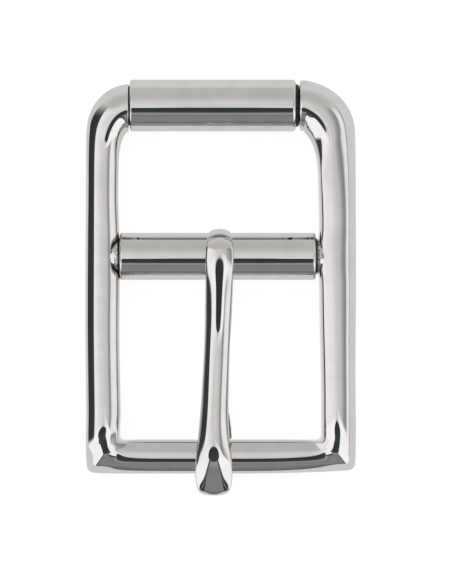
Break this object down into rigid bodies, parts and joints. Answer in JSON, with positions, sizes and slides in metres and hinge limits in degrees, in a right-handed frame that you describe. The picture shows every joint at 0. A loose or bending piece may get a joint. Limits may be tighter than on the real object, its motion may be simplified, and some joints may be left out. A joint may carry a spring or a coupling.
{
  "type": "belt buckle",
  "caption": "Polished roller buckle with a centre bar, a sleeve that turns on it and a swinging tongue, for a 38 mm strap.",
  "frame": {"origin": "middle of the footprint, in the plane of the frame's flat back", "axes": "+X across the strap, +Y along the strap towards the roller, +Z out of the buckle's face"},
  "size_m": [0.0522, 0.08, 0.0111],
  "materials": {
    "cast_frame": "cast stainless steel, mirror polished, left rough round the centre bar's sockets",
    "turned_tube": "turned stainless steel, mirror polished",
    "rod": "drawn stainless steel rod, unpolished",
    "tongue_metal": "cast stainless steel, mirror polished on the face, rough underneath"
  },
  "bodies": {
    "frame": {"frame": "cast_frame", "roller_pin": "rod", "centre_bar": "rod"},
    "roller": {"roller": "turned_tube"},
    "centre_sleeve": {"centre_sleeve": "turned_tube"},
    "tongue": {"tongue": "tongue_metal"}
  },
  "joints": [
    {"name": "roller_spin", "type": "hinge", "parent": "frame", "child": "roller", "pos_m": [-0.0015, 0.035, 0.0053], "axis": [1, 0, 0], "continuous": true},
    {"name": "centre_sleeve_spin", "type": "hinge", "parent": "frame", "child": "centre_sleeve", "pos_m": [-0.0007, 0.0059, 0.00565], "axis": [1, 0, 0], "continuous": true},
    {"name": "tongue_swing", "type": "hinge", "parent": "frame", "child": "tongue", "pos_m": [-0.0003, 0.0059, 0.00565], "axis": [-1, 0, 0], "range_deg": [0, 158]}
  ]
}
